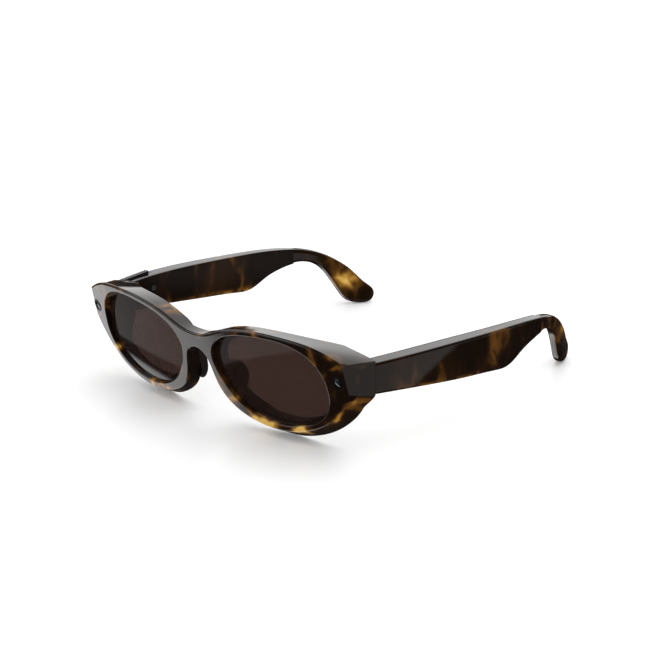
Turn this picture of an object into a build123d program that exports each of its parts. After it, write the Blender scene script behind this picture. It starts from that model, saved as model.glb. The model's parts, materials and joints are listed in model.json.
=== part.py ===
"""Smart glasses: a leaning oval-lens front, two folding temples, and the electronics they carry.

X runs to the wearer's left, Y rearward and Z up. The glasses lie open on a floor at z = 0, on
the lower rims and the temple tips, and the origin is on the floor under the middle of their box.
Lengths are in millimetres. "Back" is a distance behind the crown of the front's face.
"""
from build123d import *
import os
from math import asin, cos, degrees, radians, sin, sqrt

os.makedirs("parts", exist_ok=True)

# ---------------------------------------------------------------- driving dimensions
CROWN_Y = -72.57           # y of the face's crown, which puts the origin under the middle
CROWN_Z = 20.3             # height of the level where the crown is taken
LEAN = 13.9                # the front leans forward at the top, degrees
FACE_RADIUS = 270.0        # the face's wrap, seen from above
RIM_DEPTH = 6.8            # rim, front to back
FACE_EDGE_RADIUS = 0.7     # rounding around the front's face
OPENING_EDGE_RADIUS = 0.4  # rounding around the lens openings
LENS_SETBACK = 2.1         # face to lens front, at the lens's middle height
LENS_LEVEL = 3.1           # that height, measured up the face
LENS_LEAN = 9.9            # the lenses stand more upright than the face, degrees
LENS_THICKNESS = 1.8
GROOVE_DEPTH = 0.8         # how far the lens edge sits in the rim
REAR_LIP = 1.1             # how much smaller the opening is behind the lens
HOLE_SLOPE = -0.22         # drop of the lens opening for each millimetre of depth
HOLE_TAPER = 0.08          # how much steeper its roof is, and flatter its sill
SEAM_BACK = 19.0           # where the end pieces meet the temples
SEAM_GAP = 0.15
TIP_JOINT_BACK = 113.0     # where the temple bodies meet the tips
COVER_THICKNESS = 1.2      # temple inner cover
SHELL_WALL = 1.3           # temple outer shell
SHELL_EDGE_RADIUS = 0.9    # roundings along the temples
COVER_EDGE_RADIUS = 0.5
TIP_EDGE_RADIUS = 1.6
REACH = 100.0              # long enough to pass right through any piece

# Front outline, right half, seen along the face: across, up, and how far each moves sideways
# and up for each millimetre of depth. The brow runs from the bridge to the top outer corner.
BROW = [
    (0.0, 15.9, 0.00, -0.22),
    (6.0, 16.6, 0.00, -0.23),
    (14.0, 19.7, 0.00, -0.25),
    (22.0, 22.1, 0.00, -0.29),
    (31.0, 23.3, 0.00, -0.38),
    (40.0, 23.2, 0.00, -0.42),
    (49.0, 22.4, 0.02, -0.48),
    (57.0, 20.4, 0.08, -0.50),
    (63.0, 17.5, 0.15, -0.42),
    (67.6, 14.6, 0.24, -0.32),
]
# The lower edge runs from that corner down the side, along the rim and up over the nose.
LOWER_EDGE = [
    (67.6, 14.6, 0.24, -0.32),
    (68.9, 8.4, 0.26, -0.34),
    (67.6, 3.2, 0.28, -0.42),
    (63.8, -3.5, 0.28, -0.52),
    (58.4, -9.3, 0.18, -0.62),
    (51.6, -13.7, 0.10, -0.72),
    (44.0, -16.3, 0.04, -0.80),
    (36.0, -17.3, 0.00, -0.85),
    (28.0, -16.8, 0.00, -0.80),
    (20.5, -14.9, 0.00, -0.60),
    (14.0, -11.5, 0.02, -0.40),
    (9.4, -6.8, 0.06, -0.24),
    (6.9, -1.0, 0.10, -0.14),
    (5.5, 4.6, 0.10, -0.10),
    (3.4, 8.3, 0.06, -0.10),
    (0.0, 9.6, 0.00, -0.10),
]
# Lens opening of one side, across and up, anticlockwise from its outer end.
LENS_OPENING = [
    (59.3, 4.2), (58.1, 9.7), (54.9, 15.0), (48.4, 19.2), (39.4, 20.95), (29.8, 20.75),
    (20.0, 19.2), (11.9, 15.0), (8.3, 8.7), (9.4, 2.7), (12.0, -2.3), (15.6, -7.2),
    (21.6, -11.6), (29.8, -14.3), (39.8, -14.7), (49.6, -12.2), (56.3, -7.3), (59.1, -1.5),
]
# Rear of the brow from above: across and depth. It is flat across the bridge, then deepens.
BROW_REAR = [(5.0, 5.2), (9.0, 6.8), (14.0, 7.3), (22.0, 8.3), (31.0, 9.9), (40.0, 12.2), (48.0, 16.6)]
END_PIECE_INNER = (56.5, 24.0)
# Side outline of what is cut away low down behind the rims: back and height.
LOWER_SLOPE = [(4.9, -2.0), (19.0, 23.0), (29.0, 40.7), (60.0, 40.7), (60.0, -20.0), (4.9, -20.0)]
SIDE_FRONT = (67.4, 6.6)   # the flat side facet, seen from above: across and back
SIDE_REAR = (70.1, 19.0)

# Temple, seen from the side: back and height.
TEMPLE_TOP = [(19.0, 34.8), (40.0, 34.4), (60.0, 33.4), (80.0, 32.0), (100.0, 30.4), (113.0, 28.7)]
TEMPLE_BOTTOM = [
    (113.0, 22.3), (106.0, 21.2), (99.0, 19.2), (93.0, 16.6), (88.5, 15.6), (82.0, 16.1),
    (62.0, 18.5), (40.0, 21.2), (19.0, 23.1),
]
TIP_OUTLINE = [
    (113.0, 28.7), (120.0, 27.3), (127.0, 24.8), (134.0, 20.7), (140.5, 15.2), (146.0, 9.0),
    (149.6, 4.3), (148.6, 1.17), (143.2, 0.18), (138.6, 1.77), (134.8, 6.6), (131.0, 13.0),
    (126.6, 18.6), (120.0, 21.9), (113.0, 22.3),
]
# Temple from above: outer face and inner face, across and back.
TEMPLE_OUTER = [(70.1, 19.0), (72.9, 38.0), (73.6, 60.0), (72.6, 87.0), (70.0, 110.0),
                (64.3, 130.0), (55.6, 148.0), (51.5, 156.0)]
TEMPLE_INNER = [(63.6, 19.0), (66.2, 38.0), (67.1, 60.0), (67.0, 87.0), (65.0, 110.0),
                (59.4, 130.0), (50.9, 148.0), (46.9, 156.0)]

# Hinge: the pin stands upright behind the end piece, at the temple's inner side.
HINGE_X = 62.9
HINGE_BACK = 21.25
BARREL_RADIUS = 2.0
PIN_RADIUS = 0.7
PIN_CLEARANCE = 0.05
KNUCKLE_LEVELS = [24.6, 27.1, 29.7, 32.2]   # bottom, two gaps, top
KNUCKLE_GAP = 0.1
LEAF_PLATE_X = (67.1, 68.3)
LEAF_PLATE_BACK = (20.2, 32.0)

# Camera on the wearer's left, recording light on the right, each in a round bezel.
MODULE_X = 64.7
MODULE_UP = 7.7
BEZEL_RADIUS = 2.55
BEZEL_INNER_RADIUS = 1.9
BEZEL_DEPTH = 0.9
MODULE_LENGTH = 6.0
MODULE_BORE_RADIUS = 2.05

# Controls, all on the wearer's right temple.
CAPTURE_LENGTH = 16.4
CAPTURE_WIDTH = 2.2
CAPTURE_TOP = 35.5
CAPTURE_BOTTOM = 33.4
CAPTURE_PLACE = (-69.7, 28.9)     # across and back of its middle
CAPTURE_TURN = 8.4                # it follows the temple's outer edge, degrees
CAPTURE_RIBS = 12
RIB_PITCH = 1.25
RIB_GAP = 0.5
RIB_HEIGHT = 0.3
BUTTON_CLEARANCE = 0.15
BUTTON_TRAVEL = 0.35
POWER_PLACE = (35.6, 29.4)        # back and height
POWER_RADIUS = 1.4
POWER_X = (-65.65, -67.65)        # cap and foot
CAPTURE_SWITCH = (1.6, 3.0, 1.0)
POWER_SWITCH_SIZE = 1.8
POWER_SWITCH_X = (-68.1, -68.8)
STATUS_PLACE = (-71.0, 38.3)
STATUS_RADIUS = 0.45
STATUS_LEVELS = (33.8, 34.7)

# Small parts of the front: across and up on the face, then sizes.
CABLE_LINE = [(0.0, 12.9), (11.0, 16.6), (20.0, 20.0), (30.0, 21.2), (40.0, 21.3), (49.0, 20.0),
              (56.0, 16.6), (61.5, 10.2)]
CABLE_WIDTH = 1.0
CABLE_THICKNESS = 0.3
CABLE_INSET = 2.2
CABLE_CLEARANCE = 0.1
CONTACT_PLACES = [(-2.2, 12.2), (2.2, 12.2)]
CONTACT_RADIUS = 0.9
CONTACT_DEPTH = 0.6
MICROPHONE_PLACE = (0.0, 12.2)
MICROPHONE_RADIUS = 0.6
MICROPHONE_DEPTH = 1.4
PAD_PLACE = (9.6, 7.6, -3.4)      # across, depth and up
PAD_SPLAY = 0.5                   # the pads open towards the face
PAD_THICKNESS = 2.8
PAD_OUTLINE = [(-3.8, 0.5), (-3.2, -3.8), (-0.2, -6.4), (3.4, -5.6), (5.2, -1.4), (4.2, 3.0),
               (1.0, 6.0), (-2.4, 5.2)]

# Hinge leaves and screws.
LEAF_FRONT_BACK = 14.4
LEAF_ROOT_BACK = 19.0
SCREW_RADIUS = 0.6
SCREW_HEAD = 0.45
SCREW_LENGTH = 2.6
FRONT_SCREW_LEVEL = 28.4
FRONT_SCREW_LENGTH = 5.3
TEMPLE_SCREW_PLACES = [(25.0, 28.4), (29.6, 28.4)]
PIN_HEAD = 0.4

# Inside the temples: across, back and height of each box, from and to.
CAVITY_BACK = (39.0, 109.0)
CAVITY_MARGIN = 1.5
BATTERY = ((68.8, 71.3), (41.0, 72.0), (23.4, 30.8))
BOARD = ((68.7, 69.3), (74.0, 101.0), (22.0, 28.2))
CHIPS = [((69.3, 70.3), (76.0, 83.0), (23.0, 27.4)), ((69.3, 70.1), (86.0, 92.0), (23.4, 27.0))]
SPEAKER = ((68.9, 70.8), (77.5, 90.0), (18.3, 21.5))
GRILLE_X = (69.2, 71.0)
GRILLE_BACK = (78.0, 87.0)
GRILLE_TOP = 17.6
GRILLE_SLOTS = 7
PORT_RADIUS = 0.4
MICROPHONE = ((69.9, 71.5), (39.3, 40.7), (24.6, 27.4))
TOUCH_FILM = ((71.35, 71.65), (42.0, 71.0), (24.0, 30.4))
CORE_LINE = [(104.0, 25.0), (113.0, 25.5), (121.0, 24.4), (128.0, 20.4), (134.0, 14.4),
             (138.6, 8.4)]
CORE_PLAN = [(68.7, 98.0), (67.5, 110.0), (61.9, 130.0), (53.3, 148.0)]
CORE_WIDTH = 1.4
CORE_THICKNESS = 1.2

# ---------------------------------------------------------------- frame of the front
REARWARD = Vector(0, cos(radians(LEAN)), sin(radians(LEAN)))
UPWARD = Vector(0, -sin(radians(LEAN)), cos(radians(LEAN)))
CROWN = Vector(0, CROWN_Y, CROWN_Z)
NEAR_DEPTH = -3.0          # the front outline is drawn at these two depths
FAR_DEPTH = 26.0


def face_plane(depth):
    """Leaning plane for a sketch seen from the front, facing forward."""
    return Plane(origin=CROWN + REARWARD * depth, x_dir=(1, 0, 0), z_dir=-REARWARD)


def top_plane(height):
    """Plane square to the front's lean, for a sketch seen from above: across and depth."""
    return Plane(origin=CROWN + UPWARD * height, x_dir=(1, 0, 0), z_dir=UPWARD)


def side_plane(x):
    """Upright plane for a sketch seen from the side: back and height."""
    return Plane(origin=(x, CROWN_Y, 0), x_dir=(0, 1, 0), z_dir=(1, 0, 0))


def back_plane(back):
    """Upright plane for a sketch seen from the front: across and height, facing forward."""
    return Plane(origin=(0, CROWN_Y + back, 0), x_dir=(1, 0, 0), z_dir=(0, -1, 0))


def floor_plane(z):
    """Level plane for a sketch seen from above: across and back."""
    return Plane(origin=(0, CROWN_Y, z), x_dir=(1, 0, 0), z_dir=(0, 0, 1))


def face_depth(x):
    """Depth of the face at a distance from the middle."""
    return FACE_RADIUS - sqrt(FACE_RADIUS**2 - x**2)


def outline_point(row, depth):
    """A point of the front outline where it crosses a plane at a depth."""
    across, up, across_rate, up_rate = row
    run = depth - face_depth(across)
    return (across + across_rate * run, up + up_rate * run)


def mirrored(points):
    """The same points on the other side of the middle, in the opposite order."""
    return [(-x, y) for x, y in reversed(points)]


def front_outline(depth):
    """Brow line and lower edge, for both halves."""
    brow = [outline_point(row, depth) for row in BROW]
    lower = [outline_point(row, depth) for row in LOWER_EDGE]
    Spline(*(mirrored(brow)[:-1] + brow))
    Spline(*(lower[:-1] + mirrored(lower)))


def face_arc(inset, half_width):
    """Arc at a constant distance behind the face, as three points."""
    radius = FACE_RADIUS - inset
    edge = FACE_RADIUS - sqrt(radius**2 - half_width**2)
    return (-half_width, edge), (0.0, inset), (half_width, edge)


def face_band(near, far, half_width):
    """Closed strip seen from above, between two distances behind the face."""
    front = face_arc(near, half_width)
    rear = face_arc(far, half_width)
    ThreePointArc(*front)
    Line(front[2], rear[2])
    ThreePointArc(*rear)
    Line(rear[0], front[0])


def lens_edge(sign, growth, depth):
    """Lens opening of one side at a depth, made larger all round by about a given amount."""
    middle_x, middle_up, half_width, half_height = 33.8, 3.1, 25.5, 17.8
    points = []
    for x, up in LENS_OPENING:
        up_rate = HOLE_SLOPE - HOLE_TAPER * (up - middle_up) / half_height
        across = middle_x + (x - middle_x) * (1 + growth / half_width)
        height = middle_up + (up - middle_up) * (1 + growth / half_height)
        points.append((sign * across, height + up_rate * (depth - face_depth(x))))
    return points


def lens_tunnel(sign, growth):
    """Solid that fills the lens opening of one side, from front to back."""
    with BuildPart() as tunnel:
        for depth in (NEAR_DEPTH, FAR_DEPTH):
            with BuildSketch(face_plane(depth)):
                with BuildLine():
                    Spline(*lens_edge(sign, growth, depth), periodic=True)
                make_face()
        loft(ruled=True)
    return tunnel.part


def moved(points, across, up=0.0):
    """The same points shifted within their plane."""
    return [(x + across, y + up) for x, y in points]


def temple_strip(inner, outer):
    """Closed strip seen from above, between two lines that run along the temple."""
    Spline(*inner)
    Line(inner[-1], outer[-1])
    Spline(*outer)
    Line(outer[0], inner[0])


def temple_side(margin):
    """The temple body's side outline, made smaller above and below by a margin."""
    start = SEAM_BACK + SEAM_GAP
    top = moved([(start, TEMPLE_TOP[0][1])] + TEMPLE_TOP[1:], 0.0, -margin)
    bottom = moved(TEMPLE_BOTTOM[:-1] + [(start, TEMPLE_BOTTOM[-1][1])], 0.0, margin)
    Spline(*top)
    Line(top[-1], bottom[0])
    Spline(*bottom)
    Line(bottom[-1], top[0])


# ================================================================ front
lenses = {}
front_openings = {}
rear_openings = {}
lens_rearward = Vector(0, cos(radians(LENS_LEAN)), sin(radians(LENS_LEAN)))
lens_centre = CROWN + UPWARD * LENS_LEVEL + REARWARD * LENS_SETBACK + lens_rearward * FACE_RADIUS
for side, sign in (("left", 1), ("right", -1)):
    lens_blank = lens_tunnel(sign, GROOVE_DEPTH)
    with BuildPart() as lens:
        with Locations(lens_centre):
            Sphere(FACE_RADIUS)
            Sphere(FACE_RADIUS - LENS_THICKNESS, mode=Mode.SUBTRACT)
        add(lens_blank, mode=Mode.INTERSECT)
    lenses[side] = lens

    opening_blank = lens_tunnel(sign, 0.0)
    with BuildPart() as front_opening:
        add(opening_blank)
        with Locations(lens_centre):
            Sphere(FACE_RADIUS - LENS_THICKNESS / 2, mode=Mode.SUBTRACT)
    front_openings[side] = front_opening
    rear_openings[side] = lens_tunnel(sign, -REAR_LIP)

# ================================================================ what the front carries
def module_plane(sign):
    """Plane on the face at a camera or light, facing outward along the face's normal."""
    turn = asin(MODULE_X / FACE_RADIUS)
    centre = CROWN + REARWARD * face_depth(MODULE_X) + UPWARD * MODULE_UP
    outward = Vector(sign * sin(turn), 0, 0) - REARWARD * cos(turn)
    across = Vector(cos(turn), 0, 0) + REARWARD * (sign * sin(turn))
    return Plane(origin=centre + Vector(sign * MODULE_X, 0, 0), x_dir=across, z_dir=outward)


module_pieces = {}
for name, sign in (("camera", 1), ("light", -1)):
    face = module_plane(sign)
    with BuildPart() as bezel:
        with BuildSketch(face.offset(0.15)):
            Circle(BEZEL_RADIUS)
            Circle(BEZEL_INNER_RADIUS, mode=Mode.SUBTRACT)
        extrude(amount=-BEZEL_DEPTH - 0.15)
        chamfer(bezel.faces().sort_by(Axis.Y)[0].edges(), 0.12)
    module_pieces[f"{name}_bezel"] = bezel

    with BuildPart() as window:
        with BuildSketch(face.offset(0.0)):
            Circle(BEZEL_INNER_RADIUS)
        extrude(amount=-BEZEL_DEPTH)
    module_pieces[f"{name}_window"] = window

    with BuildPart() as module:
        with BuildSketch(face.offset(-BEZEL_DEPTH)):
            Circle(BEZEL_INNER_RADIUS - 0.2)
        extrude(amount=-MODULE_LENGTH * 0.6)
        with BuildSketch(face.offset(-BEZEL_DEPTH - MODULE_LENGTH * 0.6)):
            Rectangle(2.8, 2.8)
        extrude(amount=-MODULE_LENGTH * 0.4)
    module_pieces[f"{name}_module"] = module

def cable_run(clearance):
    """Flat cable along the brow, from the camera to the recording light."""
    with BuildPart() as run:
        with BuildSketch(face_plane(FAR_DEPTH)):
            with BuildLine():
                Spline(*(mirrored(CABLE_LINE)[:-1] + CABLE_LINE))
            trace(line_width=CABLE_WIDTH + 2 * clearance)
        extrude(amount=REACH)
        with BuildSketch(top_plane(-REACH / 2)):
            with BuildLine():
                face_band(
                    CABLE_INSET - clearance, CABLE_INSET + CABLE_THICKNESS + clearance, 66.0
                )
            make_face()
        extrude(amount=REACH, mode=Mode.INTERSECT)
    return run


front_cable = cable_run(0.0)
cable_channel = cable_run(CABLE_CLEARANCE)

with BuildPart() as charging_contacts:
    with BuildSketch(face_plane(BROW_REAR[0][1])):
        with Locations(*CONTACT_PLACES):
            Circle(CONTACT_RADIUS)
    extrude(amount=CONTACT_DEPTH)

with BuildPart() as bridge_microphone:
    with BuildSketch(face_plane(BROW_REAR[0][1])):
        with Locations(MICROPHONE_PLACE):
            Circle(MICROPHONE_RADIUS)
    extrude(amount=MICROPHONE_DEPTH)

nose_pads = {}
for side, sign in (("left", 1), ("right", -1)):
    pad_plane = Plane(
        origin=CROWN + Vector(sign * PAD_PLACE[0], 0, 0) + REARWARD * PAD_PLACE[1]
        + UPWARD * PAD_PLACE[2],
        x_dir=REARWARD + Vector(sign * PAD_SPLAY, 0, 0),
        z_dir=Vector(1, 0, 0) - REARWARD * (sign * PAD_SPLAY),
    )
    with BuildPart() as pad:
        with BuildSketch(pad_plane.offset(-PAD_THICKNESS / 2)):
            with BuildLine():
                Spline(*PAD_OUTLINE, periodic=True)
            make_face()
        extrude(amount=PAD_THICKNESS)
        fillet(pad.edges(), PAD_THICKNESS * 0.4)
    nose_pads[side] = pad

# ================================================================ hinges
hinge_pieces = {}
bottom_level, low_gap, high_gap, top_level = KNUCKLE_LEVELS
with BuildPart() as front_leaf:
    for low, high in ((bottom_level, low_gap), (high_gap, top_level)):
        with BuildSketch(floor_plane(low)):
            with Locations((HINGE_X, HINGE_BACK)):
                Circle(BARREL_RADIUS)
            with Locations((HINGE_X, (HINGE_BACK + LEAF_ROOT_BACK) / 2)):
                Rectangle(2 * BARREL_RADIUS, HINGE_BACK - LEAF_ROOT_BACK)
            with Locations((HINGE_X, HINGE_BACK)):
                Circle(PIN_RADIUS, mode=Mode.SUBTRACT)
        extrude(amount=high - low)
    with BuildSketch(floor_plane(bottom_level)):
        with Locations((HINGE_X, (LEAF_ROOT_BACK + LEAF_FRONT_BACK) / 2)):
            Rectangle(2 * BARREL_RADIUS, LEAF_ROOT_BACK - LEAF_FRONT_BACK)
    extrude(amount=top_level - bottom_level)
    with BuildSketch(back_plane(LEAF_ROOT_BACK)):
        with Locations((HINGE_X, FRONT_SCREW_LEVEL)):
            Circle(SCREW_RADIUS)
    extrude(amount=FRONT_SCREW_LENGTH, mode=Mode.SUBTRACT)
    with BuildSketch(back_plane(LEAF_ROOT_BACK)):
        with Locations((HINGE_X, FRONT_SCREW_LEVEL)):
            Circle(SCREW_RADIUS * 1.7)
    extrude(amount=SCREW_HEAD, mode=Mode.SUBTRACT)

with BuildPart() as front_hinge_screws:
    with BuildSketch(back_plane(LEAF_ROOT_BACK)):
        with Locations((HINGE_X, FRONT_SCREW_LEVEL), (-HINGE_X, FRONT_SCREW_LEVEL)):
            Circle(SCREW_RADIUS)
    extrude(amount=FRONT_SCREW_LENGTH)
    with BuildSketch(back_plane(LEAF_ROOT_BACK)):
        with Locations((HINGE_X, FRONT_SCREW_LEVEL), (-HINGE_X, FRONT_SCREW_LEVEL)):
            Circle(SCREW_RADIUS * 1.7)
    extrude(amount=SCREW_HEAD)

with BuildPart() as temple_leaf:
    with BuildSketch(floor_plane(low_gap + KNUCKLE_GAP)):
        with Locations((HINGE_X, HINGE_BACK)):
            Circle(BARREL_RADIUS)
        with Locations(((HINGE_X + LEAF_PLATE_X[0]) / 2, HINGE_BACK + BARREL_RADIUS / 2)):
            Rectangle(LEAF_PLATE_X[0] - HINGE_X, BARREL_RADIUS)
        with Locations((HINGE_X, HINGE_BACK)):
            Circle(PIN_RADIUS + PIN_CLEARANCE, mode=Mode.SUBTRACT)
    extrude(amount=high_gap - low_gap - 2 * KNUCKLE_GAP)
    with BuildSketch(floor_plane(bottom_level)):
        with Locations((sum(LEAF_PLATE_X) / 2, sum(LEAF_PLATE_BACK) / 2)):
            Rectangle(LEAF_PLATE_X[1] - LEAF_PLATE_X[0], LEAF_PLATE_BACK[1] - LEAF_PLATE_BACK[0])
    extrude(amount=top_level - bottom_level)
    with BuildSketch(side_plane(LEAF_PLATE_X[0] - 1.0)):
        with Locations(*TEMPLE_SCREW_PLACES):
            Circle(SCREW_RADIUS)
    extrude(amount=LEAF_PLATE_X[1] - LEAF_PLATE_X[0] + 2.0, mode=Mode.SUBTRACT)

with BuildPart() as temple_screws:
    with BuildSketch(side_plane(LEAF_PLATE_X[0] - SCREW_HEAD)):
        with Locations(*TEMPLE_SCREW_PLACES):
            Circle(SCREW_RADIUS * 1.6)
    extrude(amount=SCREW_HEAD)
    with BuildSketch(side_plane(LEAF_PLATE_X[0])):
        with Locations(*TEMPLE_SCREW_PLACES):
            Circle(SCREW_RADIUS)
    extrude(amount=SCREW_LENGTH)

with BuildPart() as hinge_pin:
    with BuildSketch(floor_plane(bottom_level)):
        with Locations((HINGE_X, HINGE_BACK)):
            Circle(PIN_RADIUS)
    extrude(amount=top_level - bottom_level)
    with BuildSketch(floor_plane(top_level)):
        with Locations((HINGE_X, HINGE_BACK)):
            Circle(PIN_RADIUS * 1.8)
    extrude(amount=PIN_HEAD)

# ================================================================ the front itself
# Behind the lower rims the front is only as deep as the rim, under a slope up to the temples.
with BuildPart() as lower_rear:
    with BuildSketch(side_plane(-REACH)):
        with BuildLine():
            Polyline(*LOWER_SLOPE, close=True)
        make_face()
    extrude(amount=2 * REACH)
    with BuildSketch(top_plane(-REACH)):
        with BuildLine():
            face_band(-20.0, RIM_DEPTH, 90.0)
        make_face()
    extrude(amount=2 * REACH, mode=Mode.SUBTRACT)

with BuildPart() as front_envelope:
    inner_end = (-END_PIECE_INNER[0], END_PIECE_INNER[1])
    with BuildSketch(top_plane(-REACH / 2)):
        with BuildLine():
            front = face_arc(0.0, 74.0)
            ThreePointArc(*front)
            Polyline(front[2], (74.0, END_PIECE_INNER[1]), END_PIECE_INNER, BROW_REAR[-1])
            Spline(*BROW_REAR[::-1])
            Line(BROW_REAR[0], (-BROW_REAR[0][0], BROW_REAR[0][1]))
            Spline(*mirrored(BROW_REAR)[::-1])
            Polyline(mirrored(BROW_REAR)[0], inner_end, (-74.0, END_PIECE_INNER[1]), front[0])
        make_face()
    extrude(amount=REACH)
    add(lower_rear.part, mode=Mode.SUBTRACT)

for pad in nose_pads.values():
    with pad:
        add(front_envelope.part, mode=Mode.SUBTRACT)

with BuildPart() as front_frame:
    for depth in (NEAR_DEPTH, FAR_DEPTH):
        with BuildSketch(face_plane(depth)):
            with BuildLine():
                front_outline(depth)
            make_face()
    loft(ruled=True)
    add(front_envelope.part, mode=Mode.INTERSECT)
    # Seam with the temples, and the flat polished facet on each side.
    with BuildSketch(floor_plane(-REACH / 2)):
        with Locations((0, SEAM_BACK + REACH / 2)):
            Rectangle(2 * REACH, REACH)
    extrude(amount=2 * REACH, mode=Mode.SUBTRACT)
    run = (SIDE_REAR[0] - SIDE_FRONT[0]) / (SIDE_REAR[1] - SIDE_FRONT[1])
    for sign in (1, -1):
        with BuildSketch(floor_plane(-REACH / 2)):
            with BuildLine():
                Polyline(
                    (sign * (SIDE_FRONT[0] - 12 * run), SIDE_FRONT[1] - 12),
                    (sign * (SIDE_REAR[0] + 12 * run), SIDE_REAR[1] + 12),
                    (sign * REACH, SIDE_REAR[1] + 12),
                    (sign * REACH, SIDE_FRONT[1] - 12),
                    close=True,
                )
            make_face()
        extrude(amount=2 * REACH, mode=Mode.SUBTRACT)
    face_sides = front_frame.faces().filter_by(GeomType.CYLINDER).sort_by(SortBy.AREA)[-1]
    fillet(face_sides.edges(), FACE_EDGE_RADIUS)
    # Lens openings: full size in front of the lens, a groove for it, and a smaller one behind.
    for side in lenses:
        add(front_openings[side].part, mode=Mode.SUBTRACT)
        add(rear_openings[side], mode=Mode.SUBTRACT)
        add(lenses[side].part, mode=Mode.SUBTRACT)
    face_sides = front_frame.faces().filter_by(GeomType.CYLINDER).sort_by(SortBy.AREA)[-1]
    fillet([e for wire in face_sides.inner_wires() for e in wire.edges()], OPENING_EDGE_RADIUS)
    # Seats and bores for the camera and the recording light.
    for sign in (1, -1):
        with BuildSketch(module_plane(sign)):
            Circle(BEZEL_RADIUS)
        extrude(amount=-BEZEL_DEPTH, mode=Mode.SUBTRACT)
        with BuildSketch(module_plane(sign)):
            Circle(MODULE_BORE_RADIUS)
        extrude(amount=-BEZEL_DEPTH - MODULE_LENGTH - 0.1, mode=Mode.SUBTRACT)
    # Pockets for the hinge leaves, on both sides of the middle.
    with BuildSketch(floor_plane(bottom_level)):
        with Locations(*[(sign * HINGE_X, LEAF_FRONT_BACK + REACH / 2) for sign in (1, -1)]):
            Rectangle(2 * BARREL_RADIUS, REACH)
    extrude(amount=top_level - bottom_level, mode=Mode.SUBTRACT)
    for piece in (front_hinge_screws, charging_contacts, bridge_microphone, cable_channel):
        add(piece.part, mode=Mode.SUBTRACT)


# ================================================================ temples
with BuildPart() as temple_blank:
    with BuildSketch(side_plane(40.0)):
        with BuildLine():
            temple_side(0.0)
        make_face()
    extrude(amount=50.0)

hinge_recess_x = HINGE_X + BARREL_RADIUS + 0.3
with BuildPart() as hinge_recess:
    with BuildSketch(floor_plane(bottom_level - 0.3)):
        with Locations(((hinge_recess_x + 50.0) / 2, (HINGE_BACK + BARREL_RADIUS + 0.4) / 2)):
            Rectangle(hinge_recess_x - 50.0, HINGE_BACK + BARREL_RADIUS + 0.4)
    extrude(amount=top_level + PIN_HEAD + 0.6 - bottom_level)

with BuildPart() as inner_cover:
    with BuildSketch(floor_plane(0)):
        with BuildLine():
            temple_strip(TEMPLE_INNER, moved(TEMPLE_INNER, COVER_THICKNESS))
        make_face()
    extrude(amount=50.0)
    add(temple_blank.part, mode=Mode.INTERSECT)
    fillet([e for e in inner_cover.edges() if e.length > 60 and (e @ 0.5).X < 67.6], COVER_EDGE_RADIUS)
    add(hinge_recess.part, mode=Mode.SUBTRACT)

with BuildPart() as speaker_grille:
    with BuildSketch(floor_plane(0)):
        with Locations((sum(GRILLE_X) / 2, sum(GRILLE_BACK) / 2)):
            Rectangle(GRILLE_X[1] - GRILLE_X[0], GRILLE_BACK[1] - GRILLE_BACK[0])
    extrude(amount=GRILLE_TOP)
    add(temple_blank.part, mode=Mode.INTERSECT)

with BuildPart() as outer_shell:
    with BuildSketch(floor_plane(0)):
        with BuildLine():
            temple_strip(moved(TEMPLE_INNER, COVER_THICKNESS), TEMPLE_OUTER)
        make_face()
    extrude(amount=50.0)
    add(temple_blank.part, mode=Mode.INTERSECT)
    fillet([e for e in outer_shell.edges() if e.length > 60 and (e @ 0.5).X > 71.0], SHELL_EDGE_RADIUS)
    add(hinge_recess.part, mode=Mode.SUBTRACT)
    add(speaker_grille.part, mode=Mode.SUBTRACT)

with BuildPart() as cavity:
    with BuildSketch(side_plane(40.0)):
        with BuildLine():
            temple_side(CAVITY_MARGIN)
        make_face()
    extrude(amount=50.0)
    with BuildSketch(floor_plane(0)):
        with BuildLine():
            temple_strip(moved(TEMPLE_INNER, COVER_THICKNESS), moved(TEMPLE_OUTER, -SHELL_WALL))
        make_face()
    extrude(amount=50.0, mode=Mode.INTERSECT)
    with BuildSketch(floor_plane(0)):
        with Locations((70.0, sum(CAVITY_BACK) / 2)):
            Rectangle(40.0, CAVITY_BACK[1] - CAVITY_BACK[0])
    extrude(amount=50.0, mode=Mode.INTERSECT)

with BuildPart() as core_wire:
    with BuildSketch(side_plane(40.0)):
        with BuildLine():
            Spline(*CORE_LINE)
        trace(line_width=CORE_WIDTH)
    extrude(amount=50.0)
    with BuildSketch(floor_plane(0)):
        with BuildLine():
            Spline(*CORE_PLAN)
        trace(line_width=CORE_THICKNESS)
    extrude(amount=50.0, mode=Mode.INTERSECT)

with BuildPart() as temple_tip:
    with BuildSketch(side_plane(40.0)):
        with BuildLine():
            Spline(*TIP_OUTLINE)
            Line(TIP_OUTLINE[-1], TIP_OUTLINE[0])
        make_face()
    extrude(amount=50.0)
    with BuildSketch(floor_plane(-5.0)):
        with BuildLine():
            temple_strip(TEMPLE_INNER, TEMPLE_OUTER)
        make_face()
    extrude(amount=50.0, mode=Mode.INTERSECT)
    fillet([e for e in temple_tip.edges() if e.length > 20], TIP_EDGE_RADIUS)
    add(core_wire.part, mode=Mode.SUBTRACT)

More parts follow.
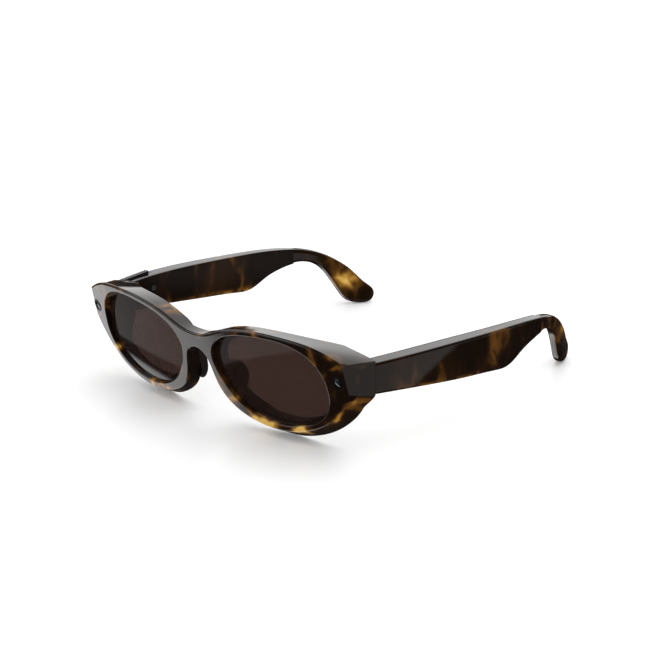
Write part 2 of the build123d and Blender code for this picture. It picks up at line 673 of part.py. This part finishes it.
with outer_shell:
    for piece in (cavity, core_wire, temple_leaf, temple_screws):
        add(piece.part, mode=Mode.SUBTRACT)
    with BuildSketch(floor_plane(15.0)):
        with Locations((sum(MICROPHONE[0]) / 2, sum(MICROPHONE[1]) / 2)):
            Circle(PORT_RADIUS)
    extrude(amount=10.0, mode=Mode.SUBTRACT)
with inner_cover:
    add(temple_leaf.part, mode=Mode.SUBTRACT)
with speaker_grille:
    first_slot, last_slot = GRILLE_BACK[0] + 1.0, GRILLE_BACK[1] - 1.0
    pitch = (last_slot - first_slot) / (GRILLE_SLOTS - 1)
    with BuildSketch(floor_plane(0)):
        with Locations((sum(GRILLE_X) / 2, sum(GRILLE_BACK) / 2)):
            with GridLocations(0, pitch, 1, GRILLE_SLOTS):
                SlotOverall(1.2, 0.5)
    extrude(amount=50.0, mode=Mode.SUBTRACT)


def box_piece(spans):
    """Solid box from its spans across, back and up."""
    with BuildPart() as piece:
        for across, back, height in spans:
            with BuildSketch(floor_plane(height[0])):
                with Locations((sum(across) / 2, sum(back) / 2)):
                    Rectangle(across[1] - across[0], back[1] - back[0])
            extrude(amount=height[1] - height[0])
    return piece


battery = box_piece([BATTERY])
circuit_board = box_piece([BOARD] + CHIPS)
speaker = box_piece([SPEAKER])
temple_microphone = box_piece([MICROPHONE])
touch_film = box_piece([TOUCH_FILM])
both_temples = {
    "outer_shell": outer_shell,
    "inner_cover": inner_cover,
    "tip": temple_tip,
    "core_wire": core_wire,
    "hinge_leaf": temple_leaf,
    "hinge_screws": temple_screws,
    "battery": battery,
    "circuit_board": circuit_board,
    "speaker": speaker,
    "speaker_grille": speaker_grille,
    "microphone": temple_microphone,
}

# ================================================================ controls of the right temple
capture_plane = Plane(
    origin=(CAPTURE_PLACE[0], CROWN_Y + CAPTURE_PLACE[1], 0), x_dir=(1, 0, 0), z_dir=(0, 0, 1)
).rotated((0, 0, CAPTURE_TURN))
with BuildPart() as capture_button:
    with BuildSketch(capture_plane.offset(CAPTURE_BOTTOM)):
        SlotOverall(CAPTURE_LENGTH, CAPTURE_WIDTH, rotation=90)
    extrude(amount=CAPTURE_TOP - CAPTURE_BOTTOM)
    with BuildSketch(capture_plane.offset(CAPTURE_TOP - RIB_HEIGHT)):
        with GridLocations(0, RIB_PITCH, 1, CAPTURE_RIBS):
            Rectangle(2 * CAPTURE_WIDTH, RIB_GAP)
    extrude(amount=2 * RIB_HEIGHT, mode=Mode.SUBTRACT)

with BuildPart() as capture_switch:
    pocket_floor = CAPTURE_BOTTOM - BUTTON_TRAVEL - 0.05
    with BuildSketch(capture_plane.offset(pocket_floor - CAPTURE_SWITCH[2])):
        Rectangle(CAPTURE_SWITCH[0], CAPTURE_SWITCH[1])
    extrude(amount=CAPTURE_SWITCH[2])

with BuildPart() as power_button:
    with BuildSketch(side_plane(POWER_X[1])):
        with Locations(POWER_PLACE):
            Circle(POWER_RADIUS)
    extrude(amount=POWER_X[0] - POWER_X[1])
    fillet(power_button.faces().sort_by(Axis.X)[-1].edges(), 0.3)

with BuildPart() as power_switch:
    with BuildSketch(side_plane(POWER_SWITCH_X[1])):
        with Locations(POWER_PLACE):
            Rectangle(POWER_SWITCH_SIZE, POWER_SWITCH_SIZE)
    extrude(amount=POWER_SWITCH_X[0] - POWER_SWITCH_X[1])

with BuildPart() as status_light:
    with BuildSketch(floor_plane(STATUS_LEVELS[0])):
        with Locations(STATUS_PLACE):
            Circle(STATUS_RADIUS)
    extrude(amount=STATUS_LEVELS[1] - STATUS_LEVELS[0])
    fillet(status_light.faces().sort_by(Axis.Z)[-1].edges(), 0.2)

with BuildPart() as control_pockets:
    with BuildSketch(capture_plane.offset(pocket_floor)):
        SlotOverall(
            CAPTURE_LENGTH + 2 * BUTTON_CLEARANCE, CAPTURE_WIDTH + 2 * BUTTON_CLEARANCE,
            rotation=90,
        )
    extrude(amount=5.0)
    add(capture_switch.part)
    add(power_switch.part)
    add(status_light.part)
    with BuildSketch(side_plane(POWER_SWITCH_X[0])):
        with Locations(POWER_PLACE):
            Circle(POWER_RADIUS + BUTTON_CLEARANCE)
    extrude(amount=5.0)

right_temples = {}
for name, piece in both_temples.items():
    with BuildPart() as other_side:
        mirror(piece.part, about=Plane.YZ)
    right_temples[name] = other_side
for name in ("outer_shell", "inner_cover"):
    with right_temples[name]:
        add(control_pockets.part, mode=Mode.SUBTRACT)
with BuildPart() as right_touch_film:
    mirror(touch_film.part, about=Plane.YZ)
right_temples["touch_film"] = right_touch_film

# ================================================================ labels and files
pieces = {"front_frame": front_frame, "front_cable": front_cable}
pieces["charging_contacts"] = charging_contacts
pieces["bridge_microphone"] = bridge_microphone
pieces["front_hinge_screws"] = front_hinge_screws
pieces.update(module_pieces)
for side in ("left", "right"):
    pieces[f"lens_{side}"] = lenses[side]
    pieces[f"nose_pad_{side}"] = nose_pads[side]
for name, piece in (("hinge_front_leaf", front_leaf), ("hinge_pin", hinge_pin)):
    with BuildPart() as other_side:
        mirror(piece.part, about=Plane.YZ)
    pieces[f"{name}_left"] = piece
    pieces[f"{name}_right"] = other_side
for name, piece in both_temples.items():
    pieces[f"left_temple_{name}"] = piece
for name, piece in right_temples.items():
    pieces[f"right_temple_{name}"] = piece
pieces["capture_button"] = capture_button
pieces["capture_switch"] = capture_switch
pieces["power_button"] = power_button
pieces["power_switch"] = power_switch
pieces["status_light"] = status_light

for name, piece in pieces.items():
    piece.part.label = name
    export_step(piece.part, f"parts/{name}.step")
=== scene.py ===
import json
import math

import bpy
from mathutils import Matrix, Vector


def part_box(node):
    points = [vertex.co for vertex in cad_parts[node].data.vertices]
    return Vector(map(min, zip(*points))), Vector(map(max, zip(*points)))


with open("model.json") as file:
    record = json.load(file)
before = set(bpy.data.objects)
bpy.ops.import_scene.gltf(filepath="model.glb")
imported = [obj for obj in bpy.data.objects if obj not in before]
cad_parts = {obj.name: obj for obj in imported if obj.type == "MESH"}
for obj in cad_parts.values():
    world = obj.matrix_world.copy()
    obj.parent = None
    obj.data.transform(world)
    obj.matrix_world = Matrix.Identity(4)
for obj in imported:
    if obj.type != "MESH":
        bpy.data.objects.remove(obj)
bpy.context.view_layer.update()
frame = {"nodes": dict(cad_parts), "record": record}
nodes = frame["nodes"]
scene = bpy.context.scene


# ---------------------------------------------------------------- node helpers
class Tree:
    """A material's node tree, with short helpers for adding and joining nodes."""

    def __init__(self, name):
        self.material = bpy.data.materials.new(name)
        self.material.use_nodes = True
        self.tree = self.material.node_tree
        self.tree.nodes.clear()
        self.output = self.tree.nodes.new("ShaderNodeOutputMaterial")

    def add(self, kind, **settings):
        node = self.tree.nodes.new(kind)
        for key, value in settings.items():
            setattr(node, key, value)
        return node

    def put(self, node, socket, value):
        if isinstance(value, bpy.types.NodeSocket):
            self.tree.links.new(value, node.inputs[socket])
        else:
            node.inputs[socket].default_value = value

    def position(self):
        return self.add("ShaderNodeTexCoord").outputs["Object"]

    def stretched(self, scale):
        mapping = self.add("ShaderNodeMapping")
        self.put(mapping, "Vector", self.position())
        self.put(mapping, "Scale", scale)
        return mapping.outputs["Vector"]

    def noise(self, vector, scale, detail, rough):
        node = self.add("ShaderNodeTexNoise")
        self.put(node, "Vector", vector)
        self.put(node, "Scale", scale)
        self.put(node, "Detail", detail)
        self.put(node, "Roughness", rough)
        return node.outputs["Fac"]

    def ramp(self, value, stops):
        node = self.add("ShaderNodeValToRGB")
        node.color_ramp.interpolation = "LINEAR"
        elements = node.color_ramp.elements
        while len(elements) < len(stops):
            elements.new(0.5)
        for element, (place, colour) in zip(elements, stops):
            element.position = place
            element.color = (*colour, 1.0)
        self.put(node, "Fac", value)
        return node.outputs["Color"]

    def mask(self, value, low, high):
        node = self.add("ShaderNodeMapRange", interpolation_type="SMOOTHSTEP")
        self.put(node, "Value", value)
        self.put(node, "From Min", low)
        self.put(node, "From Max", high)
        return node.outputs["Result"]

    def math(self, operation, first, second=0.0):
        node = self.add("ShaderNodeMath", operation=operation)
        self.put(node, 0, first)
        self.put(node, 1, second)
        return node.outputs[0]

    def vector(self, operation, first, second):
        node = self.add("ShaderNodeVectorMath", operation=operation)
        self.put(node, 0, first)
        self.put(node, 1, second)
        return node.outputs[0]

    def unit(self, vector):
        node = self.add("ShaderNodeVectorMath", operation="NORMALIZE")
        self.put(node, 0, vector)
        return node.outputs[0]

    def blend(self, factor, first, second):
        node = self.add("ShaderNodeMixShader")
        self.put(node, 0, factor)
        self.put(node, 1, first.outputs[0])
        self.put(node, 2, second.outputs[0])
        return node

    def along(self, axis):
        """The place along one axis of the row frame."""
        node = self.add("ShaderNodeSeparateXYZ")
        self.put(node, 0, self.position())
        return node.outputs[axis]

    def mix(self, factor, first, second):
        node = self.add("ShaderNodeMix", data_type="RGBA")
        self.put(node, 0, factor)
        self.put(node, 6, first if not isinstance(first, tuple) else (*first, 1.0))
        self.put(node, 7, second if not isinstance(second, tuple) else (*second, 1.0))
        return node.outputs[2]

    def bump(self, height, strength, distance=0.0001):
        node = self.add("ShaderNodeBump")
        self.put(node, "Height", height)
        self.put(node, "Strength", strength)
        self.put(node, "Distance", distance)
        return node.outputs["Normal"]

    def principled(self, **values):
        shader = self.add("ShaderNodeBsdfPrincipled")
        for key, value in values.items():
            socket = key.replace("_", " ")
            if isinstance(value, tuple) and len(value) == 3:
                value = (*value, 1.0)
            self.put(shader, socket, value)
        self.put(self.output, "Surface", shader.outputs["BSDF"])
        return self.material


# ---------------------------------------------------------------- materials
# Lengths here are in metres and places are in the row frame.
DOME_CENTRE = (0.0, 0.19616, 0.06092)       # middle of the sphere for the lenses' gloss
WINDOW_FACING = (0.2396, -0.9424, -0.2332)  # the way that the small window on the +X side faces
WINDOW_RADIUS = 0.0036                      # of the small windows' bulge
PUPIL_RADIUS = 0.0015                       # of the coloured middle of a small window
HEAD_ON_GLOSS = 0.04                        # share of light that a lens reflects head on
LENS_BODY = 0.09                            # share of a lens surface that scatters light
BEND_REACH = 0.009                          # how far the acetate's veins wander
BEND_SCALE = 95.0                           # noise scales, per metre, from here on
BREAK_SCALE = 70.0
CLOUD_SCALE = 38.0
PATCH_SCALE = 130.0
WEAR_SCALE = 900.0
RIPPLE_SCALE = 60.0
RIPPLE_HEIGHT = 0.00003


def blob(tree, centre, radii):
    """1 at a centre in the row frame, falling to 0 at an ellipsoid around it."""
    near = tree.vector("SUBTRACT", tree.position(), centre)
    length = tree.add("ShaderNodeVectorMath", operation="LENGTH")
    tree.put(length, 0, tree.vector("DIVIDE", near, radii))
    return tree.mask(length.outputs["Value"], 1.0, 0.0)


ACETATE_STOPS = [
    (0.0, (0.0070, 0.0032, 0.0016)),
    (0.25, (0.022, 0.0090, 0.0026)),
    (0.55, (0.115, 0.048, 0.0085)),
    (0.80, (0.40, 0.20, 0.032)),
    (1.0, (0.80, 0.50, 0.12)),
]


def tortoiseshell(name, cell, width, amber, blobs=(), stretch=(1, 1, 1), camber=None, edge=None,
                  satin=False):
    """Dark brown acetate: soft amber veins between dark cells, and amber patches, some at thin
    lower edges as painted glow of light shining through them.

    cell is the size of the dark cells in metres, width the veins' part of it and amber their
    strength. blobs are patches, each a centre, radii and strength, below 0 to darken; some are
    painted glow of light through a thin lower edge. camber gives the height and radius of a
    slight upright swell. edge gives the height of the piece's lower line, its rise along Y, how
    far its amber glow reaches and how strong that is: painted light, as if shining through that
    thin edge.
    """
    tree = Tree(name)
    place = tree.stretched(stretch)
    bend = tree.add("ShaderNodeTexNoise")
    tree.put(bend, "Vector", place)
    tree.put(bend, "Scale", BEND_SCALE)
    tree.put(bend, "Detail", 2.0)
    bent = tree.add("ShaderNodeVectorMath", operation="MULTIPLY_ADD")
    tree.put(bent, 0, bend.outputs["Color"])
    tree.put(bent, 1, (BEND_REACH,) * 3)
    tree.put(bent, 2, place)
    cells = tree.add("ShaderNodeTexVoronoi", feature="DISTANCE_TO_EDGE")
    tree.put(cells, "Vector", bent.outputs[0])
    tree.put(cells, "Scale", 1.0 / cell)
    veins = tree.mask(cells.outputs["Distance"], width, 0.0)
    breaks = tree.mask(tree.noise(place, BREAK_SCALE, 2.0, 0.5), 0.36, 0.72)
    value = tree.math("MULTIPLY", tree.math("MULTIPLY", veins, breaks), amber)
    clouds = tree.mask(tree.noise(place, CLOUD_SCALE, 3.0, 0.5), 0.50, 0.80)
    value = tree.math("ADD", value, tree.math("MULTIPLY", clouds, 0.30))
    patches = None
    for centre, radii, gain in blobs:
        patch = tree.math("MULTIPLY", blob(tree, centre, radii), gain)
        patches = patch if patches is None else tree.math("ADD", patches, patch)
    # Painted glow: amber that rises towards the piece's lower line, painted light as if shining
    # through the thin lower edge.
    if edge:
        height_at_0, rise_along_y, reach, strength = edge
        line = tree.math("ADD", tree.math("MULTIPLY", tree.along("Y"), rise_along_y), height_at_0)
        glow = tree.mask(tree.math("SUBTRACT", tree.along("Z"), line), reach, 0.0)
        glow = tree.math("MULTIPLY", glow, strength)
        patches = glow if patches is None else tree.math("ADD", patches, glow)
    if patches is not None:
        texture = tree.mask(tree.noise(place, PATCH_SCALE, 2.0, 0.5), 0.34, 0.70)
        value = tree.math("ADD", value, tree.math("MULTIPLY", patches, texture))
    colour = tree.ramp(value, ACETATE_STOPS)
    wear = tree.noise(tree.position(), WEAR_SCALE, 3.0, 0.6)
    polish = 0.16 if satin else 0.045
    rough = tree.math("ADD", polish, tree.math("MULTIPLY", wear, 0.03))
    ripple = tree.noise(tree.position(), RIPPLE_SCALE, 2.0, 0.5)
    height = tree.math("MULTIPLY", ripple, RIPPLE_HEIGHT)
    relief = tree.bump(height, 1.0, 1.0)
    if camber:
        middle_height, radius = camber
        rise = tree.math("SUBTRACT", tree.along("Z"), middle_height)
        lift = tree.add("ShaderNodeCombineXYZ")
        tree.put(lift, "Z", tree.math("DIVIDE", rise, radius))
        relief = tree.unit(tree.vector("ADD", relief, lift.outputs[0]))
    return tree.principled(
        Base_Color=colour,
        Roughness=rough,
        IOR=1.5,
        Specular_IOR_Level=0.16 if satin else 0.5,
        Normal=relief,
    )


def plain(name, colour, rough, metallic=0.0, grain=400.0, spread=0.06, bump=0.05, **more):
    """A solid colour with fine procedural variation in colour, roughness and relief."""
    tree = Tree(name)
    grains = tree.noise(tree.position(), grain, 4.0, 0.6)
    darker = tuple(c * (1.0 - 3 * spread) for c in colour)
    lighter = tuple(min(1.0, c * (1.0 + 3 * spread)) for c in colour)
    return tree.principled(
        Base_Color=tree.mix(grains, darker, lighter),
        Roughness=tree.math("ADD", rough - spread / 2, tree.math("MULTIPLY", grains, spread)),
        Metallic=metallic,
        Normal=tree.bump(grains, bump, 0.00005),
        **more,
    )


def brushed(name, colour, rough):
    """Metal with fine lines along Z."""
    tree = Tree(name)
    lines = tree.noise(tree.stretched((1, 1, 0.05)), 2500.0, 3.0, 0.6)
    return tree.principled(
        Base_Color=tree.mix(lines, tuple(c * 0.8 for c in colour), colour),
        Roughness=tree.math("ADD", rough, tree.math("MULTIPLY", lines, 0.1)),
        Metallic=1.0,
        Normal=tree.bump(lines, 0.08, 0.00005),
    )


def dome_normal(tree, centre):
    """Normal of a sphere around a centre, turned to the side of the surface that is lit."""
    outward = tree.unit(tree.vector("SUBTRACT", tree.position(), centre))
    agree = tree.add("ShaderNodeVectorMath", operation="DOT_PRODUCT")
    tree.put(agree, 0, tree.add("ShaderNodeNewGeometry").outputs["Normal"])
    tree.put(agree, 1, outward)
    sided = tree.add("ShaderNodeVectorMath", operation="SCALE")
    tree.put(sided, 0, outward)
    tree.put(sided, "Scale", tree.math("SIGN", agree.outputs["Value"]))
    return sided.outputs[0]


def lens_glass():
    """Brown tinted lens: what is behind it shows dark through it, under a clear gloss."""
    tree = Tree("tinted_lens")
    haze = tree.noise(tree.position(), 35.0, 2.0, 0.5)
    clear = tree.add("ShaderNodeBsdfTransparent")
    tree.put(clear, "Color", tree.mix(haze, (0.177, 0.132, 0.119), (0.197, 0.146, 0.132)))
    body = tree.add("ShaderNodeBsdfDiffuse")
    tree.put(body, "Color", tree.mix(haze, (0.140, 0.080, 0.063), (0.156, 0.088, 0.070)))
    tinted = tree.blend(LENS_BODY, clear, body)
    gloss = tree.add("ShaderNodeBsdfGlossy")
    tree.put(gloss, "Color", (1.0, 1.0, 1.0, 1.0))
    tree.put(gloss, "Roughness", 0.03)
    tree.put(gloss, "Normal", dome_normal(tree, DOME_CENTRE))
    facing = tree.add("ShaderNodeLayerWeight")
    tree.put(facing, "Blend", 0.5)
    tree.put(facing, "Normal", dome_normal(tree, DOME_CENTRE))
    grazing = tree.math("POWER", facing.outputs["Facing"], 5.0)
    rise = tree.math("MULTIPLY", grazing, 1.0 - HEAD_ON_GLOSS)
    both = tree.blend(tree.math("ADD", rise, HEAD_ON_GLOSS), tinted, gloss)
    tree.put(tree.output, "Surface", both.outputs[0])
    return tree.material


def domed_window(name, colour, node):
    """Small glossy window that bulges: black at the rim and its own colour in the middle."""
    tree = Tree(name)
    low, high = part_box(node)
    middle = (low + high) / 2
    outward = Vector((math.copysign(WINDOW_FACING[0], middle.x), *WINDOW_FACING[1:]))
    centre = middle - outward * WINDOW_RADIUS
    pupil = blob(tree, tuple(middle), (PUPIL_RADIUS,) * 3)
    speck = tree.noise(tree.position(), 1500.0, 3.0, 0.6)
    tint = tree.mix(speck, colour, tuple(c * 1.3 for c in colour))
    return tree.principled(
        Base_Color=tree.mix(tree.mask(pupil, 0.25, 0.45), (0.002, 0.002, 0.002), tint),
        Roughness=tree.math("ADD", 0.03, tree.math("MULTIPLY", speck, 0.02)),
        IOR=1.6,
        Normal=dome_normal(tree, tuple(centre)),
    )


# Amber patches on the front. The four lowest, near z 0.005 on the lower rims, are painted glow of
# light shining through the thin rims. The rest are patches of the pattern, and the one with
# strength below 0 darkens the pattern at the +X end.
FRONT_PATCHES_AND_PAINTED_GLOW = [
    # centre, radii, strength
    ((-0.0391, -0.066, 0.0050), (0.013, 0.016, 0.0065), 1.5),
    ((-0.0250, -0.068, 0.0055), (0.008, 0.016, 0.005), 1.3),
    ((-0.0570, -0.064, 0.0150), (0.006, 0.016, 0.009), 0.9),
    ((-0.0352, -0.073, 0.0460), (0.006, 0.010, 0.006), 0.9),
    ((0.0034, -0.0745, 0.0376), (0.006, 0.006, 0.005), 0.7),
    ((0.0144, -0.069, 0.0135), (0.005, 0.014, 0.006), 0.9),
    ((0.0270, -0.066, 0.0045), (0.009, 0.016, 0.006), 1.6),
    ((0.0450, -0.064, 0.0055), (0.008, 0.016, 0.006), 1.6),
    ((0.0635, -0.069, 0.0400), (0.006, 0.010, 0.006), 0.9),
    ((0.0200, -0.073, 0.0420), (0.016, 0.010, 0.008), 0.9),
    ((0.0640, -0.060, 0.0160), (0.010, 0.012, 0.010), 0.25),
    ((0.0690, -0.064, 0.0270), (0.017, 0.022, 0.018), -1.10),
]
shell = tortoiseshell("tortoiseshell_acetate", 0.0125, 0.20, 0.72, FRONT_PATCHES_AND_PAINTED_GLOW)
SIDE = {
    "cell": 0.0165,
    "width": 0.14,
    "amber": 0.50,
    "stretch": (1.0, 1.0, 0.62),
    "camber": (0.028, 0.10),
    # edge: painted amber glow of light shining through the temples' lower edge
    "edge": (0.01745, -0.108, 0.0026, 0.60),
}
side = tortoiseshell("temple_acetate", **SIDE)
inner_side = tortoiseshell("temple_acetate_satin", **SIDE, satin=True)
TIP_BLOBS = [((x, 0.062, 0.010), (0.020, 0.050, 0.035), 0.42) for x in (-0.060, 0.060)]
tips = tortoiseshell("tortoiseshell_tip", 0.0105, 0.30, 0.75, TIP_BLOBS, (1.0, 0.8, 0.8))
finishes = {
    "tortoiseshell_acetate": shell,
    "tortoiseshell_tip": tips,
    "tinted_lens": lens_glass(),
    "smoked_silicone": plain("smoked_silicone", (0.014, 0.010, 0.009), 0.22, grain=300.0),
    "black_ring": plain("black_ring", (0.004, 0.004, 0.005), 0.30, Specular_IOR_Level=0.08),
    "camera_glass": domed_window("camera_glass", (0.006, 0.009, 0.018), "camera_window"),
    "light_diffuser": domed_window("light_diffuser", (0.008, 0.012, 0.024), "light_window"),
    "module_black": plain("module_black", (0.03, 0.03, 0.03), 0.5),
    "flex_film": plain("flex_film", (0.35, 0.14, 0.02), 0.35),
    "gold_contacts": plain("gold_contacts", (0.85, 0.60, 0.25), 0.2, metallic=1.0),
    "microphone_can": brushed("microphone_can", (0.65, 0.65, 0.65), 0.3),
    "steel_screws": brushed("steel_screws", (0.55, 0.55, 0.56), 0.25),
    "hinge_steel": brushed("hinge_steel", (0.30, 0.30, 0.32), 0.28),
    "core_wire_steel": brushed("core_wire_steel", (0.55, 0.55, 0.56), 0.3),
    "battery_foil": brushed("battery_foil", (0.62, 0.63, 0.65), 0.35),
    "board_green": plain("board_green", (0.02, 0.13, 0.06), 0.35),
    "speaker_can": plain("speaker_can", (0.06, 0.06, 0.06), 0.5),
    "grille_mesh": plain("grille_mesh", (0.02, 0.02, 0.02), 0.5, grain=1500.0, bump=0.4),
    "button_black": plain("button_black", (0.012, 0.012, 0.013), 0.25, grain=900.0),
    "switch_metal": brushed("switch_metal", (0.5, 0.5, 0.5), 0.3),
    "status_blue": plain("status_blue", (0.05, 0.12, 0.65), 0.1, Coat_Weight=1.0),
}
slots = {row["node"]: row["material_slot"] for row in frame["record"]["subparts"]}

# ---------------------------------------------------------------- finishes on the CAD nodes
for name, piece in nodes.items():
    piece.data.materials.clear()
    if name.endswith("outer_shell"):
        finish = side
    elif name.endswith("inner_cover"):
        finish = inner_side
    else:
        finish = finishes[slots[name]]
    piece.data.materials.append(finish)

# ---------------------------------------------------------------- stage
bpy.ops.mesh.primitive_plane_add(size=6.0, location=(0, 0, 0))
floor = bpy.context.object
floor.name = "floor"
floor_tree = Tree("floor_white")
floor_tree.principled(
    Base_Color=(0.93, 0.93, 0.93),
    Roughness=0.35,
    Specular_IOR_Level=0.25,
    Emission_Color=(1.0, 1.0, 1.0),
    Emission_Strength=0.16,
)
floor.data.materials.append(floor_tree.material)
floor.visible_glossy = False

LAMP_PLACE = (0.1, 0.1, 1.2)
lamp_data = bpy.data.lights.new("top_softbox", "AREA")
lamp_data.shape = "RECTANGLE"
lamp_data.size = 1.6
lamp_data.size_y = 1.2
lamp_data.energy = 7.0
lamp = bpy.data.objects.new("top_softbox", lamp_data)
scene.collection.objects.link(lamp)
lamp.location = LAMP_PLACE
lamp.rotation_mode = "QUATERNION"
lamp.rotation_quaternion = (-Vector(LAMP_PLACE)).to_track_quat("-Z", "Y")
lamp.visible_glossy = False

# The studio around the object: white to the eye, and for reflections a dark room with panels.
# A panel spans directions by azimuth, counted from +X towards +Y, and by height, the z of the
# direction. Its sides lean by "skew" degrees for each unit of height, and its top and bottom
# fall by "fall" for each degree of azimuth. All its edges are soft.
PANELS = [
    # azimuth from, to, edge, skew, height from, to, edge, fall, brightness
    (165, 219, 8, 0, -2.0, -0.424, 0.006, 0.00467, 2.3),
    (96, 160, 3, 0, 0.04, 0.80, 0.02, 0, 1.6),
    (12, 50, 1.2, 59, -0.80, 0.10, 0.05, 0, 0.50),
    (195, 260, 8, 0, 0.25, 0.70, 0.05, 0, 3.0),
    (184, 216, 8, 0, -0.409, -0.05, 0.004, 0.0035, 0.45),
    (217, 262, 1.5, 0, -0.595, -0.10, 0.004, -0.0022, 0.50),
]
ROOM_GLOW = 0.03
LOWEST_AZIMUTH = -30.0      # degrees; directions below it are counted a full turn on
LEAN_HEIGHT = -0.25         # the height at which a leaning side has its stated azimuth
FALL_AZIMUTH = 180.0        # the azimuth at which a falling edge has its stated height
world = bpy.data.worlds.new("studio")
scene.world = world
world.use_nodes = True
tree = world.node_tree
tree.nodes.clear()


def world_math(operation, first, second=0.0):
    node = tree.nodes.new("ShaderNodeMath")
    node.operation = operation
    for index, value in enumerate((first, second)):
        if isinstance(value, bpy.types.NodeSocket):
            tree.links.new(value, node.inputs[index])
        else:
            node.inputs[index].default_value = value
    return node.outputs[0]


def world_step(value, low, high):
    """0 below low and 1 above high, soft between, or the other way round if high is lower."""
    node = tree.nodes.new("ShaderNodeMapRange")
    node.interpolation_type = "SMOOTHSTEP"
    tree.links.new(value, node.inputs["Value"])
    node.inputs["From Min"].default_value = low
    node.inputs["From Max"].default_value = high
    return node.outputs["Result"]


direction = tree.nodes.new("ShaderNodeTexCoord").outputs["Generated"]
split = tree.nodes.new("ShaderNodeSeparateXYZ")
tree.links.new(direction, split.inputs[0])
azimuth = world_math("ARCTAN2", split.outputs["Y"], split.outputs["X"])
azimuth = world_math("MULTIPLY", azimuth, 180 / math.pi)
past_half_turn = world_math("LESS_THAN", azimuth, LOWEST_AZIMUTH)
azimuth = world_math("ADD", azimuth, world_math("MULTIPLY", past_half_turn, 360.0))
reflected = None
for az0, az1, az_edge, skew, z0, z1, z_edge, fall, bright in PANELS:
    height = split.outputs["Z"]
    lean = world_math("MULTIPLY", world_math("SUBTRACT", height, LEAN_HEIGHT), skew)
    leaning = world_math("SUBTRACT", azimuth, lean)
    drop = world_math("MULTIPLY", world_math("SUBTRACT", azimuth, FALL_AZIMUTH), fall)
    height = world_math("ADD", height, drop)
    shape = world_math("MULTIPLY", world_step(leaning, az0 - az_edge, az0 + az_edge),
                       world_step(leaning, az1 + az_edge, az1 - az_edge))
    shape = world_math("MULTIPLY", shape, world_step(height, z0 - z_edge, z0 + z_edge))
    shape = world_math("MULTIPLY", shape, world_step(height, z1 + z_edge, z1 - z_edge))
    shape = world_math("MULTIPLY", shape, bright)
    reflected = shape if reflected is None else world_math("ADD", reflected, shape)
reflected = world_math("ADD", reflected, ROOM_GLOW)
path = tree.nodes.new("ShaderNodeLightPath")
glossy = path.outputs["Is Glossy Ray"]
strength = world_math("ADD", world_math("MULTIPLY", glossy, reflected),
                      world_math("SUBTRACT", 1.0, glossy))
background = tree.nodes.new("ShaderNodeBackground")
tree.links.new(strength, background.inputs["Strength"])
output = tree.nodes.new("ShaderNodeOutputWorld")
tree.links.new(background.outputs[0], output.inputs["Surface"])

# ---------------------------------------------------------------- camera
camera_data = bpy.data.cameras.new("camera")
camera = bpy.data.objects.new("camera", camera_data)
scene.collection.objects.link(camera)
scene.camera = camera
AZIMUTH, ELEVATION, ROLL = map(math.radians, (43.97, 18.92, -0.38))
FOCAL_LENGTH = 111.85                       # mm, on a sensor 36 mm wide
EYE_OFFSET = (0.04987, 0.03133, 0.7745)     # metres to the right, up and back from the aim
AIM = (0, -0.07257, 0)
right = Vector((math.cos(AZIMUTH), math.sin(AZIMUTH), 0))
back = Vector((
    math.sin(AZIMUTH) * math.cos(ELEVATION),
    -math.cos(AZIMUTH) * math.cos(ELEVATION),
    math.sin(ELEVATION),
))
up = back.cross(right)
right_rolled = right * math.cos(ROLL) + up * math.sin(ROLL)
up_rolled = up * math.cos(ROLL) - right * math.sin(ROLL)
camera_data.sensor_width = 36.0
camera_data.lens = FOCAL_LENGTH
camera_data.clip_start = 0.05
camera_data.clip_end = 20.0
eye = right * EYE_OFFSET[0] + up * EYE_OFFSET[1] + back * EYE_OFFSET[2] + Vector(AIM)
turn = Matrix((right_rolled, up_rolled, back)).transposed()
camera.rotation_mode = "QUATERNION"
camera.rotation_quaternion = turn.to_quaternion()
camera.location = eye

scene.view_settings.view_transform = "Standard"
